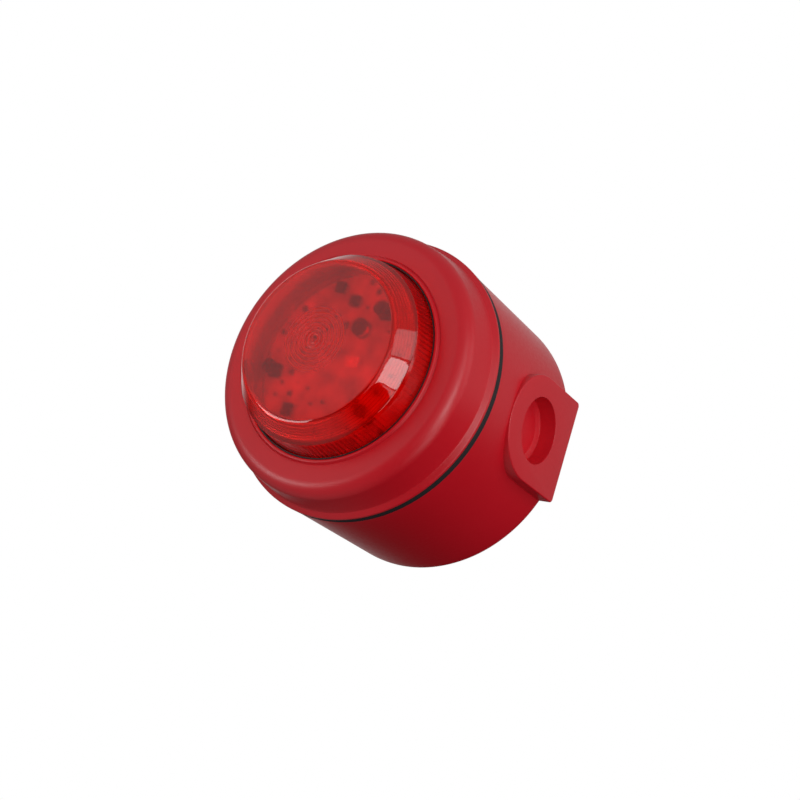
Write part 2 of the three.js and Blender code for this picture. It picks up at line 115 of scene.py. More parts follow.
def shade(obj):
    mesh = obj.data
    mesh.polygons.foreach_set("use_smooth", [True] * len(mesh.polygons))
    mesh.set_sharp_from_angle(angle=SMOOTH_ANGLE)


def new_object(name, builder):
    """Makes an object from a bmesh in millimetres, with faces out and edges sharp past an angle."""
    bmesh.ops.recalc_face_normals(builder, faces=builder.faces)
    bmesh.ops.scale(builder, vec=(MM, MM, MM), verts=builder.verts)
    mesh = bpy.data.meshes.new(name)
    builder.to_mesh(mesh)
    builder.free()
    obj = bpy.data.objects.new(name, mesh)
    bpy.context.scene.collection.objects.link(obj)
    shade(obj)
    return obj


def lathe(name, profile, segments=SHELL_SEGMENTS, warp=None):
    """A profile turned about Y. warp(radius, y, angle) may move the radius of each point."""
    builder = bmesh.new()
    rings = []
    for radius, y in profile:
        if radius < 1e-6:
            rings.append([builder.verts.new((0, y, 0))])
            continue
        ring = []
        for step in range(segments):
            angle = TURN * step / segments
            r = warp(radius, y, angle) if warp else radius
            ring.append(builder.verts.new((r * math.cos(angle), y, r * math.sin(angle))))
        rings.append(ring)
    if len(rings[0]) > 1:
        rings.append(rings[0])
    for lower, upper in zip(rings, rings[1:]):
        for step in range(segments):
            after = (step + 1) % segments
            corners = [lower[step % len(lower)], lower[after % len(lower)],
                       upper[after % len(upper)], upper[step % len(upper)]]
            corners = list(dict.fromkeys(corners))
            if len(corners) > 2:
                builder.faces.new(corners)
    return new_object(name, builder)


def disc(name, radius, start, end, edges, steps, segments):
    """A round plate about Y from y = start to y = end, with its two edges rounded."""
    profile = [(0, start), (radius, start, edges[0]), (radius, end, edges[1]), (0, end)]
    return lathe(name, rounded(profile, steps), segments)


def drill(radius, back, front, segments=40):
    """A plain round cutter along Y."""
    return lathe("drill", [(0, back), (radius, back), (radius, front), (0, front)], segments)


def inset(outline, distance):
    """The outline moved inwards by a distance. It runs anticlockwise, as seen with x right and z up."""
    moved = []
    for index, point in enumerate(outline):
        corner = Vector(point)
        arriving = (corner - Vector(outline[index - 1])).normalized()
        leaving = (Vector(outline[(index + 1) % len(outline)]) - corner).normalized()
        normal = Vector((-arriving.y - leaving.y, arriving.x + leaving.x))
        moved.append(tuple(corner + normal * (distance / (1 + arriving.dot(leaving)))))
    return moved


def prism(name, outline, back, front, edge=0.0, steps=4):
    """An outline in (x, z) made solid from y = back to y = front, with its front edge rounded."""
    levels = [(outline, back)]
    if edge:
        for step in range(steps + 1):
            angle = math.pi / 2 * step / steps
            rounder = inset(outline, edge * (1 - math.cos(angle)))
            levels.append((rounder, front + edge * (1 - math.sin(angle))))
    else:
        levels.append((outline, front))
    builder = bmesh.new()
    loops = [[builder.verts.new((x, y, z)) for x, z in points] for points, y in levels]
    builder.faces.new(loops[0])
    builder.faces.new(list(reversed(loops[-1])))
    for rear, fore in zip(loops, loops[1:]):
        for index in range(len(outline)):
            after = (index + 1) % len(outline)
            builder.faces.new((rear[index], fore[index], fore[after], rear[after]))
    return new_object(name, builder)


def arc_points(x, z, radius, start, end, steps):
    """Points on an arc in the plane of x and z. Angles are in degrees, from +X towards +Z."""
    angles = [math.radians(start + (end - start) * step / steps) for step in range(steps + 1)]
    return [(x + radius * math.cos(a), z + radius * math.sin(a)) for a in angles]


def sector(name, inner, outer, start, end, back, front, edge=0.0):
    """A stretch of ring about Y, between two angles in degrees."""
    steps = max(4, round(abs(end - start) / 2))
    outline = arc_points(0, 0, outer, start, end, steps) + arc_points(0, 0, inner, end, start, steps)
    return prism(name, outline, back, front, edge)


def combine(target, tool, operation):
    """Joins or cuts target with tool, removes tool, and drops any face that the cut left doubled."""
    modifier = target.modifiers.new("combine", "BOOLEAN")
    modifier.operation = operation
    modifier.object = tool
    modifier.solver = "EXACT"
    evaluated = target.evaluated_get(bpy.context.evaluated_depsgraph_get())
    mesh = bpy.data.meshes.new_from_object(evaluated)
    mesh.validate()
    target.modifiers.clear()
    spare = target.data
    target.data = mesh
    bpy.data.meshes.remove(spare)
    mesh.name = target.name
    bpy.data.objects.remove(tool)


def join_all(target, tools):
    for tool in tools:
        combine(target, tool, "UNION")
    shade(target)


def cut_all(target, tools):
    for tool in tools:
        combine(target, tool, "DIFFERENCE")
    shade(target)


def polar(radius, angle):
    return radius * math.cos(math.radians(angle)), radius * math.sin(math.radians(angle))


def shift(obj, x=0.0, y=0.0, z=0.0):
    obj.data.transform(Matrix.Translation((x * MM, y * MM, z * MM)))
    return obj


def over(piece, node, y=0.0):
    """Moves a piece made on the Y axis to its node's middle in x and z."""
    middle = centre_mm(node)
    return shift(piece, middle.x, y, middle.z)


def turn_about_y(obj, degrees):
    """Turns a piece about its own Y axis, from +X towards +Z."""
    obj.data.transform(Matrix.Rotation(-math.radians(degrees), 4, "Y"))
    return obj


def swing_to_x(obj):
    """Turns a prism made along -Y, with its outline in (x, z), to run along +X with it in (y, z)."""
    obj.data.transform(Matrix(((0, -1, 0, 0), (1, 0, 0, 0), (0, 0, 1, 0), (0, 0, 0, 1))))
    return obj


def face_wall(obj):
    """Mirrors a piece made along -Y so that its rounded edge looks towards the wall."""
    obj.data.transform(Matrix.Diagonal((1, -1, 1, 1)))
    obj.data.flip_normals()
    return obj


def turn_round(obj):
    """Turns a piece made along -Y to look along +Y."""
    obj.data.transform(Matrix.Rotation(math.pi, 4, "Z"))
    return obj


# ------------ materials

class Nodes:
    """Adds nodes to a tree and links them."""

    def __init__(self, tree):
        self.tree = tree

    def node(self, kind, **settings):
        made = self.tree.nodes.new(kind)
        for key, value in settings.items():
            setattr(made, key, value)
        return made

    def link(self, source, target):
        self.tree.links.new(source, target)

    def ranged(self, source, start, end, low, high, **settings):
        """Maps values from start to end onto low to high."""
        made = self.node("ShaderNodeMapRange", **settings)
        for socket, value in zip(("From Min", "From Max", "To Min", "To Max"), (start, end, low, high)):
            made.inputs[socket].default_value = value
        self.link(source, made.inputs["Value"])
        return made.outputs["Result"]

    def split_by_ray(self, ray, usual, special, output):
        """Shows the special shader to one kind of ray and the usual one to all others."""
        path = self.node("ShaderNodeLightPath")
        mix = self.node("ShaderNodeMixShader")
        self.link(path.outputs[ray], mix.inputs["Fac"])
        self.link(usual, mix.inputs[1])
        self.link(special, mix.inputs[2])
        self.link(mix.outputs["Shader"], output.inputs["Surface"])


class Shader(Nodes):
    """A Principled material whose grain, bump and tone come from nodes."""

    def __init__(self, name, color, roughness, metallic=0.0):
        self.material = bpy.data.materials.new(name)
        self.material.use_nodes = True
        super().__init__(self.material.node_tree)
        self.principled = self.tree.nodes["Principled BSDF"]
        self.output = self.tree.nodes["Material Output"]
        self.principled.inputs["Base Color"].default_value = (*color, 1)
        self.principled.inputs["Roughness"].default_value = roughness
        self.principled.inputs["Metallic"].default_value = metallic
        self.coordinates = self.node("ShaderNodeTexCoord").outputs["Object"]

    def noise(self, scale, detail=4.0, stretch=None):
        texture = self.node("ShaderNodeTexNoise")
        texture.inputs["Scale"].default_value = scale
        texture.inputs["Detail"].default_value = detail
        source = self.coordinates
        if stretch:
            mapping = self.node("ShaderNodeMapping")
            mapping.inputs["Scale"].default_value = stretch
            self.link(source, mapping.inputs["Vector"])
            source = mapping.outputs["Vector"]
        self.link(source, texture.inputs["Vector"])
        return texture.outputs["Fac"]

    def vary_roughness(self, scale, low, high, detail=4.0, stretch=None):
        varied = self.ranged(self.noise(scale, detail, stretch), 0.25, 0.75, low, high)
        self.link(varied, self.principled.inputs["Roughness"])

    def vary_color(self, scale, first, second, stretch=None):
        ramp = self.node("ShaderNodeValToRGB")
        ramp.color_ramp.elements[0].position = 0.3
        ramp.color_ramp.elements[0].color = (*first, 1)
        ramp.color_ramp.elements[1].position = 0.7
        ramp.color_ramp.elements[1].color = (*second, 1)
        self.link(self.noise(scale, stretch=stretch), ramp.inputs["Fac"])
        self.link(ramp.outputs["Color"], self.principled.inputs["Base Color"])

    def bump(self, source, strength, distance_mm):
        bump = self.node("ShaderNodeBump")
        bump.inputs["Strength"].default_value = strength
        bump.inputs["Distance"].default_value = distance_mm * MM
        self.link(source, bump.inputs["Height"])
        self.link(bump.outputs["Normal"], self.principled.inputs["Normal"])

    def set(self, **values):
        for key, value in values.items():
            self.principled.inputs[key.replace("_", " ")].default_value = value
        return self


def red_moulding():
    shader = Shader("red_moulding", (0.64, 0.008, 0.019), 0.36)
    shader.vary_color(18, (0.62, 0.007, 0.017), (0.67, 0.009, 0.021))
    shader.vary_roughness(900, 0.31, 0.42)
    shader.bump(shader.noise(2600, 3), 0.12, 0.05)
    return shader.material


def red_lens(name, transmission, low, high):
    """Clear red polycarbonate with a little haze. Lamps reach what is behind it."""
    shader = Shader(name, (0.93, 0.022, 0.012), low)
    shader.set(Transmission_Weight=transmission, IOR=1.585)
    shader.vary_roughness(160, low, high)
    clear = shader.node("ShaderNodeBsdfTransparent")
    clear.inputs["Color"].default_value = (0.97, 0.16, 0.12, 1)
    usual, special = shader.principled.outputs["BSDF"], clear.outputs["BSDF"]
    shader.split_by_ray("Is Shadow Ray", usual, special, shader.output)
    return shader.material


def black_rubber():
    shader = Shader("black_rubber", (0.012, 0.012, 0.013), 0.7)
    shader.vary_roughness(700, 0.6, 0.8)
    shader.bump(shader.noise(3000), 0.2, 0.03)
    return shader.material


def moulded(name, color, low, high):
    """Satin moulded plastic: slightly uneven tone and a fine grain."""
    shader = Shader(name, color, low)
    shader.vary_color(40, tuple(c * 0.93 for c in color), tuple(min(1.0, c * 1.06) for c in color))
    shader.vary_roughness(800, low, high)
    shader.bump(shader.noise(2600, 3), 0.12, 0.04)
    return shader.material


def mottled(name, first, second):
    """A board with uneven solder mask and print."""
    shader = Shader(name, first, 0.4)
    shader.vary_color(170, first, second)
    shader.vary_roughness(700, 0.3, 0.5)
    shader.bump(shader.noise(900, 3), 0.15, 0.05)
    return shader.material


def metal(name, color, low, high, stretch):
    """Plated or rolled metal with fine lines along one direction."""
    shader = Shader(name, color, low, 1.0)
    shader.vary_roughness(500, low, high, 6, stretch)
    shader.vary_color(60, tuple(c * 0.9 for c in color), color)
    shader.bump(shader.noise(900, 4, stretch), 0.08, 0.02)
    return shader.material


MATERIALS = {
    "red_moulding": red_moulding(),
    "red_lens": red_lens("red_lens", 0.97, 0.02, 0.05),
    "black_rubber": black_rubber(),
    "plated_steel": metal("plated_steel", (0.62, 0.62, 0.60), 0.22, 0.38, (1, 8, 1)),
    "spring_brass": metal("spring_brass", (0.78, 0.56, 0.24), 0.20, 0.34, (8, 1, 1)),
    "white_board": mottled("white_board", (0.32, 0.31, 0.31), (0.74, 0.74, 0.73)),
}

# slot: (color, lowest roughness, highest roughness)
MOULDED = {
    "black_moulding": ((0.012, 0.012, 0.014), 0.4, 0.55),
    "ivory_moulding": ((0.72, 0.68, 0.58), 0.4, 0.55),
    "green_moulding": ((0.02, 0.16, 0.07), 0.4, 0.55),
    "circuit_board": ((0.012, 0.10, 0.04), 0.3, 0.42),
    "led_body": ((0.94, 0.92, 0.86), 0.2, 0.3),
    "capacitor_sleeve": ((0.012, 0.014, 0.022), 0.22, 0.32),
    "ferrite": ((0.035, 0.034, 0.036), 0.55, 0.7),
    "switch_red": ((0.42, 0.012, 0.012), 0.35, 0.5),
    "trimmer_blue": ((0.02, 0.08, 0.36), 0.35, 0.5),
}
MATERIALS.update({name: moulded(name, *settings) for name, settings in MOULDED.items()})

# The underside of the top keeps a fine grain from the mould. The steps and ribs scatter light.
GRAINED_LENS = red_lens("red_lens_grained", 0.90, 0.11, 0.18)
STEPPED_LENS = red_lens("red_lens_stepped", 0.78, 0.12, 0.22)
RIBBED_LENS = red_lens("red_lens_ribbed", 0.83, 0.14, 0.24)
RINGED_LENS = red_lens("red_lens_ringed", 0.82, 0.28, 0.40)


def finish_piece(obj, body, slot_name, *nodes):
    """Paints a piece, rides it on its body and lets it stand for CAD nodes."""
    obj.data.materials.clear()
    obj.data.materials.append(MATERIALS[slot_name])
    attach(obj, body)
    if nodes:
        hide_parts(*nodes)
    return obj


def paint_cad_nodes():
    for part in frame["record"]["subparts"]:
        node = frame["nodes"][part["node"]]
        for slot in node.material_slots:
            slot.material = MATERIALS[part["material_slot"]]


# ------------ base

BASE_BACK_RADIUS = 50.4
BASE_FRONT_RADIUS = 51.2
WALL = 2.6
REAR_WALL = 2.5
TAB_ANGLES = (90, 210, 330)
TAB_HALF = 9.5
TAB_INNER = 46.2
TAB_OUTER = 49.6
TAB_FRONT = -52.2
PAD_BACK = -0.6
PAD_HALF = 18.8
PAD_CENTRE_Y = -24.3
PAD_CORNER = 1.5
RECESS_Y = -22.9
RECESS_RADIUS = 11.6
RECESS_DEPTH = 7.0
FIXING_CIRCLE = 32
FIXING_ANGLES = (45, 135, 225, 315)
ENTRY_X = -20
ENTRY_RADIUS = 9
PILLAR_Z = 26


def pad_outline():
    """Outline of the conduit pad in (y, z): round towards the front, square at the wall."""
    corner = PAD_HALF - PAD_CORNER
    return (arc_points(PAD_CENTRE_Y, 0, PAD_HALF, 90, 270, 96)
            + arc_points(PAD_BACK - PAD_CORNER, -corner, PAD_CORNER, -90, 0, 8)
            + arc_points(PAD_BACK - PAD_CORNER, corner, PAD_CORNER, 0, 90, 8))


def conduit_pad(face):
    """The pad as a solid bar along X whose outer edge is slightly rounded."""
    return swing_to_x(prism("pad", pad_outline(), -30, -face, edge=0.45))


def recess_cutter(face):
    """Round cutter for the conduit recess: rounded mouth, straight wall and a coned rim round its floor."""
    floor = -face + RECESS_DEPTH
    mouth = 0.35
    profile = rounded([
        (0, floor), (RECESS_RADIUS - 2.0, floor, 0.5), (RECESS_RADIUS, floor - 0.8, 0.15),
        (RECESS_RADIUS, -face + 0.1, 0.3), (RECESS_RADIUS + mouth, -face - 0.25),
        (RECESS_RADIUS + mouth, -face - 2), (0, -face - 2),
    ], 8)
    return shift(swing_to_x(lathe("recess", profile, 128)), 0, RECESS_Y)


def fixing_slot(angle):
    x, z = polar(FIXING_CIRCLE, angle)
    ends = arc_points(0, 3.5, 2.5, 0, 180, 16) + arc_points(0, -3.5, 2.5, 180, 360, 16)
    return shift(turn_about_y(prism("slot", ends, 2, -5), angle), x, 0, z)


def base_profile(depth):
    return rounded([
        (0, 0), (BASE_BACK_RADIUS, 0, 2.2), (BASE_FRONT_RADIUS, depth, 0.15),
        (BASE_FRONT_RADIUS - WALL, depth, 0.35), (BASE_BACK_RADIUS - WALL, -REAR_WALL, 1.2),
        (0, -REAR_WALL)])


def base_cavity(depth):
    """What is cut from the pad: the room inside, and a little of the wall so that no faces coincide."""
    inner_back, inner_front = BASE_BACK_RADIUS - WALL + 0.4, BASE_FRONT_RADIUS - WALL + 0.4
    back = 0.4 - REAR_WALL
    return [(0, back), (inner_back, back), (inner_front, depth), (inner_front, depth - 2), (0, depth - 2)]


def pillar(z):
    """A hollow post that a carrier screw goes into."""
    bar = lathe("pillar", rounded([(0, -1), (4, -1), (4, -25, 0.3), (1.8, -25), (1.8, -15), (0, -15)]), 48)
    return shift(bar, 0, 0, z)


def base_shell():
    low, high = box_mm("deep_base")
    depth = low.y
    face = high.x
    shell = lathe("base_shell", divided(base_profile(depth)))
    floor = face - RECESS_DEPTH
    backing = lathe("backing", rounded([
        (0, -floor + 2.2), (13.8, -floor + 2.2, 0.6), (13.8, -floor - 4), (0, -floor - 4)]), 96)
    shift(swing_to_x(backing), 0, RECESS_Y)
    pad = conduit_pad(face)
    combine(pad, lathe("inside", base_cavity(depth)), "DIFFERENCE")
    pillars = [pillar(z) for z in (-PILLAR_Z, PILLAR_Z)]
    tabs = []
    for angle in TAB_ANGLES:
        start, end = angle - TAB_HALF, angle + TAB_HALF
        tabs.append(sector("tab", TAB_INNER, TAB_OUTER, start, end, TAB_FRONT + 2, TAB_FRONT, 0.3))
        tabs.append(sector("stop", TAB_INNER, TAB_OUTER, start - 3.5, start + 1, -46.5, -52.4, 0.3))
    join_all(shell, [pad, backing, *pillars, *tabs])
    entry = shift(drill(ENTRY_RADIUS, 2, -5, 96), ENTRY_X)
    cut_all(shell, [fixing_slot(angle) for angle in FIXING_ANGLES] + [entry, recess_cutter(face)])
    finish_piece(shell, "base", "red_moulding", "deep_base")


# ------------ seal and head

def seal_and_gap_shade():
    """Black ring squeezed between base and head, with a skirt inside the base. Its black fills the whole gap
    from the base rim to the bead, so it is partly the real seal and partly painted shade for the shadow in
    that gap.
    """
    low, high = box_mm("base_seal")
    # back and front reach past the seal itself so that the black closes the gap: that extra black is painted
    # shade.
    back, front, radius = -55.0, low.y - 0.22, high.z
    # The last point only closes the outline, so that the corner before it is rounded.
    profile = rounded([
        (46.9, high.y), (48.0, high.y, 0.2), (48.0, back, 0.1), (radius, back, 0.25),
        (radius, front, 0.25), (46.9, front, 0.1), (46.9, high.y)], 4)
    ring = lathe("seal_and_gap_shade", profile[:-1])
    finish_piece(ring, "seal", "black_rubber", "base_seal")


TIE_ANGLES = (30, 150, 270)
TIE_CIRCLE = 39.8
TIE_HOLE = 1.9
TIE_SEAT = -44.2


def at_tie(piece, angle):
    """Moves a piece made on the Y axis to one of the long screws."""
    x, z = polar(TIE_CIRCLE, angle)
    return shift(piece, x, 0, z)


def bezel_profile():
    """Outside from the back to the shoulder, then over the face and the collar, and back along the inside."""
    shoulder = arc_points(43.5, -69.4, 5.3, 0, -90, 15)
    outside = rounded([
        (43.2, -44), (45.5, -44, 0.5), (45.5, -57.7, 0.2), (51.55, -57.7, 0.3), (51.6, -58.7, 1.1),
        (49.8, -60.1, 0.6), (48.8, -69.4),
    ], 4)
    rim = rounded([
        (43.4, -74.7), (38.25, -74.7, 0.15), (38.0, -74.45, 0.15), (37.75, -75.0, 0.3), (37.5, -75.6, 0.45),
        (36.45, -75.6, 0.5), (36.45, -72.3, 0.2), (43.4, -72.3, 1.0), (46.4, -69.3, 1.0), (46.4, -61, 0.5),
        (43.2, -58, 0.3), (43.2, -44),
    ], 4)
    return outside + shoulder[1:] + rim[1:-1]


def bezel_shell():
    bezel = lathe("bezel_shell", divided(bezel_profile()))
    extras = [sector("lug", 44.5, 47.6, angle + 12, angle + 28, -47.5, -49.5, 0.3) for angle in TAB_ANGLES]
    for angle in TIE_ANGLES:
        post = lathe("post", [(0, -73), (2.6, -73), (2.6, -56), (1.8, -56), (1.8, -66), (0, -66)], 40)
        extras.append(at_tie(post, angle))
    join_all(bezel, extras)
    finish_piece(bezel, "head", "red_moulding", "head_bezel")


FLUTES = 120
RING_COUNT = 7
RING_PITCH = 1.6
RING_HALF = 0.3
RING_DEPTH = 0.13
LENS_EDGE = (29.3, -89.75)
LENS_SHOULDER = (34.4, -83.3)
LENS_CENTRE_Y = -91.35
LENS_THICKNESS = 2.05
LENS_BACK = -68.9
WALL_INNER = 33.2
BEVEL_BACK = (32.5, -82.3)
BEVEL_FRONT = (27.6, -87.9)
RIB_FRONT = -82.2
PRISM_STEPS = 7


def crown_y(radius):
    """Height of the gently domed top."""
    return LENS_CENTRE_Y + (LENS_EDGE[1] - LENS_CENTRE_Y) * (radius / LENS_EDGE[0]) ** 2


def lens_outside():
    """From the axis out and down to the foot, with fine rings pressed into the middle of the top."""
    crown = [(0, crown_y(0))]
    for ring in range(1, RING_COUNT + 1):
        radius = ring * RING_PITCH
        depth = RING_DEPTH * (1 - ring / (RING_COUNT + 1))
        for offset, drop in ((-0.6, 0), (-RING_HALF, 0), (0, depth), (RING_HALF, 0)):
            crown.append((radius + offset, crown_y(radius + offset) + drop))
    crown += [(radius, crown_y(radius)) for radius in (16, 19, 22, 25)]
    edge = rounded([
        crown[-1], (*LENS_EDGE, 3.2), (*LENS_SHOULDER, 1.1), (35.85, -74.0, 0.3), (35.3, -73.4, 0.2),
        (35.3, LENS_BACK)], 8)
    return crown + edge[1:]


def lens_inside():
    """From the foot up to the axis: wall, stepped bevel, and the plain underside of the top."""
    points = [(WALL_INNER, LENS_BACK), BEVEL_BACK]
    for step in range(PRISM_STEPS):
        for part, lift in ((step, 0.0), (step + 0.75, 0.42)):
            t = part / PRISM_STEPS
            radius = BEVEL_BACK[0] + (BEVEL_FRONT[0] - BEVEL_BACK[0]) * t
            y = BEVEL_BACK[1] + (BEVEL_FRONT[1] - BEVEL_BACK[1]) * t
            points.append((radius + lift * 0.4, y - lift))
    points.append(BEVEL_FRONT)
    points += [(radius, crown_y(radius) + LENS_THICKNESS) for radius in (26, 21, 16)]
    points.append((0, LENS_CENTRE_Y + LENS_THICKNESS))
    return points


def flute(radius, y, angle):
    """Fine upright ribs on the inner face of the lens wall."""
    inside = 32.4 < radius < 33.5 and y > RIB_FRONT
    return radius - 0.16 * (1 - math.cos(FLUTES * angle)) / 2 if inside else radius


def lens_dome():
    profile = divided(lens_outside() + lens_inside(), 3.0)
    lens = lathe("lens_dome", profile, FLUTES * 4, flute)
    feet = [sector("foot", 34.4, 36.2, angle - 11.6, angle + 11.6, -69.0, -70.5) for angle in TAB_ANGLES]
    join_all(lens, feet)
    finish_piece(lens, "head", "red_lens", "beacon_lens")
    for finish in (GRAINED_LENS, STEPPED_LENS, RIBBED_LENS, RINGED_LENS):
        lens.data.materials.append(finish)
    for face in lens.data.polygons:
        x, y, z = face.center / MM
        face.material_index = lens_finish(math.hypot(x, z), y)


def lens_finish(radius, y):
    """0 polished outside, 1 grained underside, 2 stepped bevel, 3 ribbed inner wall, 4 pressed rings."""
    if radius < BEVEL_FRONT[0] and y > crown_y(radius) + LENS_THICKNESS / 2:
        return 1
    along = (y - BEVEL_BACK[1]) / (BEVEL_FRONT[1] - BEVEL_BACK[1])
    bevel_radius = WALL_INNER - along * (BEVEL_BACK[0] - BEVEL_FRONT[0])
    if BEVEL_FRONT[0] < radius < bevel_radius and y < RIB_FRONT:
        return 2
    if radius < WALL_INNER + 0.2 and RIB_FRONT < y < LENS_BACK - 0.1:
        return 3
    ring = round(radius / RING_PITCH)
    pressed = abs(radius - ring * RING_PITCH) < RING_HALF
    return 4 if pressed and 0 < ring <= RING_COUNT else 0


# ------------ small shapes shared by the inner parts

def rounded_rectangle(width, height, radius, steps=5):
    w, h = width / 2 - radius, height / 2 - radius
    return (arc_points(w, h, radius, 0, 90, steps) + arc_points(-w, h, radius, 90, 180, steps)
            + arc_points(-w, -h, radius, 180, 270, steps) + arc_points(w, -h, radius, 270, 360, steps))


def brick(name, width, height, back, front, corner, edge):
    return prism(name, rounded_rectangle(width, height, corner, 4), back, front, edge, 3)


def merge(name, pieces):
    """Several closed pieces as one object."""
    builder = bmesh.new()
    for piece in pieces:
        builder.from_mesh(piece.data)
        bpy.data.objects.remove(piece)
    bmesh.ops.scale(builder, vec=(1 / MM, 1 / MM, 1 / MM), verts=builder.verts)
    return new_object(name, builder)


def strip(path, thickness, width):
    """A bent strip of sheet metal whose path lies in (x, y), made wide along z."""
    points = [Vector(point) for point in path]
    left, right = [], []
    for index, point in enumerate(points):
        before = (point - points[index - 1]).normalized() if index else None
        after = (points[index + 1] - point).normalized() if index < len(points) - 1 else None
        before = before or after
        after = after or before
        normal = Vector((-before.y - after.y, before.x + after.x))
        offset = normal * (thickness / 2 / (1 + before.dot(after)))
        left.append(tuple(point + offset))
        right.append(tuple(point - offset))
    made = prism("strip", right + left[::-1], width / 2, -width / 2)
    made.data.transform(Matrix(((1, 0, 0, 0), (0, 0, 1, 0), (0, -1, 0, 0), (0, 0, 0, 1))))
    return made


def gull_lead(side, rise, reach, width):
    """A lead from a package's side down to the board. side is 1 or -1, along x."""
    path = [(0, -rise), (reach * 0.3, -rise), (reach * 0.55, -0.08), (reach, -0.08)]
    made = strip(path, 0.14, width)
    if side < 0:
        turn_about_y(made, 180)
    return made


def package(name, body_size, leads_a_side, pitch, reach, lead_width):
    """A chip standing on y = 0: its body and its leads, as two pieces."""
    width, height, depth = body_size
    body = brick(name, width, height, -0.1, -depth, 0.25, 0.18)
    leads = []
    for side in (-1, 1):
        for index in range(leads_a_side):
            z = (index - (leads_a_side - 1) / 2) * pitch
            lead = gull_lead(side, depth * 0.5, reach, lead_width)
            leads.append(shift(lead, side * (width / 2 - 0.05), 0, z))
    return body, merge(name + "_leads", leads)


def cross_recess(size, depth):
    """Two crossed bars that cut the drive recess of a screw, opening towards -Y at y = 0."""
    return [prism("recess", rounded_rectangle(width, height, 0.05, 2), depth, -1)
            for width, height in ((size, size * 0.24), (size * 0.24, size))]


def screw(name, head_radius, head_height, length, shank=1.5, pitch=1.0):
    """A pan-head screw: seat at y = 0, head towards -Y and thread towards +Y, with a cross recess."""
    top = -head_height
    head = lathe(name, rounded([
        (0, 0.2), (head_radius, 0.2), (head_radius, -head_height * 0.5, 0.5),
        (head_radius * 0.62, top, 0.9), (0, top)], 5), 40)
    cut_all(head, [shift(bar, 0, top, 0) for bar in cross_recess(head_radius * 1.05, head_height * 0.6)])
    depth = 0.28

    def thread(radius, y, angle):
        if radius < shank - 0.01 or y > length - 1.2:
            return radius
        phase = (y / pitch + angle / TURN) % 1.0
        return radius - depth * abs(2 * phase - 1)

    steps = round(length / (pitch / 8))
    side = [(shank, 0.1 + (length - 1.2) * step / steps) for step in range(steps + 1)]
    body = lathe(name + "_thread", [(0, 0.1), *side, (0.3, length), (0, length)], 24, thread)
    return merge(name, [head, body])


# ------------ beacon board and what is on it

BOARD_GAP = 0.3


def on_board(piece, node, slot_name, *nodes):
    """Finishes a piece made on y = 0 and stands it on its board, which its node is kept just off."""
    over(piece, node, box_mm(node)[1].y + BOARD_GAP)
    finish_piece(piece, "head", slot_name, *nodes)


def disc_board(name, node, radius, slot_name, holes=()):
    low, high = box_mm(node)
    board = disc(name, radius, high.y, low.y, (0.12, 0.12), 3, 144)
    if holes:
        cut_all(board, [shift(drill(hole, 1, -3, 32), x, high.y, z) for x, z, hole in holes])
    return finish_piece(board, "head", slot_name, node)


GOLDEN_ANGLE = 137.508
SMALL_PART_SIZES = ((2.0, 1.25, 0.55), (1.6, 0.85, 0.5), (1.0, 0.5, 0.35), (2.6, 1.4, 0.6))


def small_parts(face, keep_clear, count, reach, name, body_slot):
    """Resistors and capacitors spread over a board by the golden angle, clear of its larger parts."""
    bodies, ends = [], []
    for index in range(count):
        x, z = polar(reach * math.sqrt((index + 0.5) / count), index * GOLDEN_ANGLE)
        if any(math.dist((x, z), (cx, cz)) < clear for cx, cz, clear in keep_clear):
            continue
        quarter = 90 * (index % 2)
        length, width, height = SMALL_PART_SIZES[index % len(SMALL_PART_SIZES)]
        body = brick("body", length * 0.7, width, 0, -height, 0.08, 0.06)
        bodies.append(shift(turn_about_y(body, quarter), x, face, z))
        for side in (-1, 1):
            cap = brick("end", length * 0.2, width + 0.06, 0, -height - 0.05, 0.08, 0.06)
            shift(cap, side * length * 0.4)
            ends.append(shift(turn_about_y(cap, quarter), x, face, z))
    finish_piece(merge(name + "_bodies", bodies), "head", body_slot)
    finish_piece(merge(name + "_ends", ends), "head", "plated_steel")


def solder_joint(x, z, y, radius=0.9):
    """A small cone of solder on the front of a board."""
    profile = [(0, 0.02), (radius, 0.02), (radius, -0.03), (radius * 0.62, -0.28), (radius * 0.34, -0.6),
               (0, -0.66)]
    return shift(lathe("solder", profile, 20), x, y, z)


def beacon_led():
    """A white package with a bowl, a domed lens in it, and a soldered leg on each side."""
    node = "beacon_led"
    width, _, height = size_mm(node)
    body = brick("led_body", width, height, 0, -1.1, 0.35, 0.15)
    bowl = lathe("bowl", [(0, -0.35), (1.1, -0.35), (1.5, -1.6), (0, -1.6)], 40)
    cut_all(body, [bowl])
    on_board(body, node, "led_body", node)
    dome = lathe("led_dome", rounded([
        (0, -0.36), (1.08, -0.36), (1.35, -1.05, 0.1), (1.2, -1.9, 0.5), (0.6, -2.55, 0.5),
        (0, -2.7)], 5), 40)
    on_board(dome, node, "led_body")
    pads = [brick("pad", 1.3, 2.6, 0.28, -0.12, 0.1, 0.05) for _ in (0, 1)]
    legs = [shift(pad, side * (width / 2 + 0.4)) for pad, side in zip(pads, (-1, 1))]
    on_board(merge("led_legs", legs), node, "plated_steel")


def beacon_can(index):
    """A surface-mounted capacitor: square foot and a can with a rolled groove."""
    node = f"beacon_capacitor_{index}"
    width, height, _ = size_mm(node)
    radius = width / 2
    outline = rounded_rectangle(2 * radius, 2 * radius, 0.9, 3)
    foot = prism(f"beacon_can_foot_{index}", outline, 0, -0.9, 0.15, 2)
    on_board(foot, node, "black_moulding")
    inner = radius - 0.12
    can = lathe(f"beacon_can_{index}", rounded([
        (0, -0.9), (inner, -0.9, 0.1), (inner, -1.5, 0.1), (inner - 0.32, -1.8, 0.2), (inner, -2.1, 0.1),
        (inner, -height, 0.45), (inner - 0.7, -height, 0.1), (inner - 0.85, -height + 0.12, 0.05),
        (0, -height + 0.12)], 4), 48)
    on_board(can, node, "capacitor_sleeve", node)


